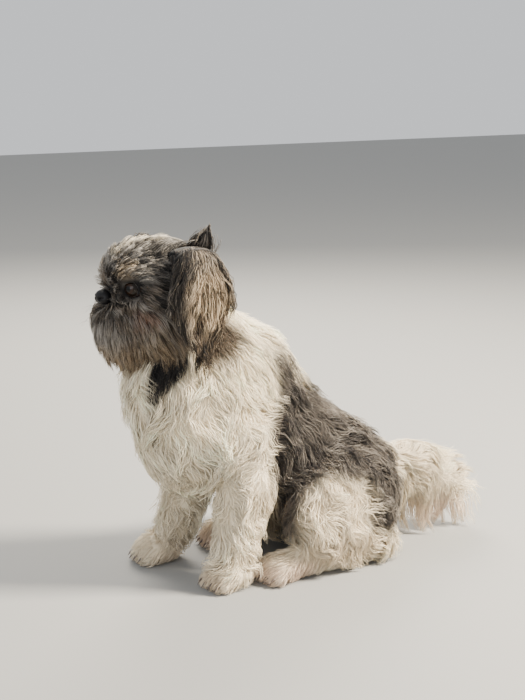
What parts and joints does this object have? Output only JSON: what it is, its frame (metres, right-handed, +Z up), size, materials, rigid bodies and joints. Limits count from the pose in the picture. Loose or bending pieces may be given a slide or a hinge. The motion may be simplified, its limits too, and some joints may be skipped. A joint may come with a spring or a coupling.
{
  "type": "shih tzu",
  "caption": "Life-size sitting shih tzu with a round head, short muzzle, hanging ears, a long layered coat and a plumed tail laid on the floor.",
  "frame": {"origin": "on the floor, on the flat under the rump, in the body's mid-plane", "axes": "+Z up; the nose points to -X and the tail to +X; the dog's left side is towards -Y"},
  "size_m": [0.5175, 0.2324, 0.3956],
  "materials": {
    "white_coat": "matt",
    "grey_coat": "matt",
    "mask_coat": "matt",
    "nose_leather": "satin",
    "eyeball": "gloss"
  },
  "bodies": {
    "root": {"head": "mask_coat", "nose": "nose_leather", "neck": "white_coat", "torso": "white_coat", "rump": "grey_coat", "tail": "white_coat", "eye_left": "eyeball", "ear_left": "mask_coat", "foreleg_left": "white_coat", "forepaw_left": "white_coat", "thigh_left": "grey_coat", "hindpaw_left": "white_coat", "eye_right": "eyeball", "ear_right": "mask_coat", "foreleg_right": "white_coat", "forepaw_right": "white_coat", "thigh_right": "grey_coat", "hindpaw_right": "white_coat"}
  },
  "joints": []
}
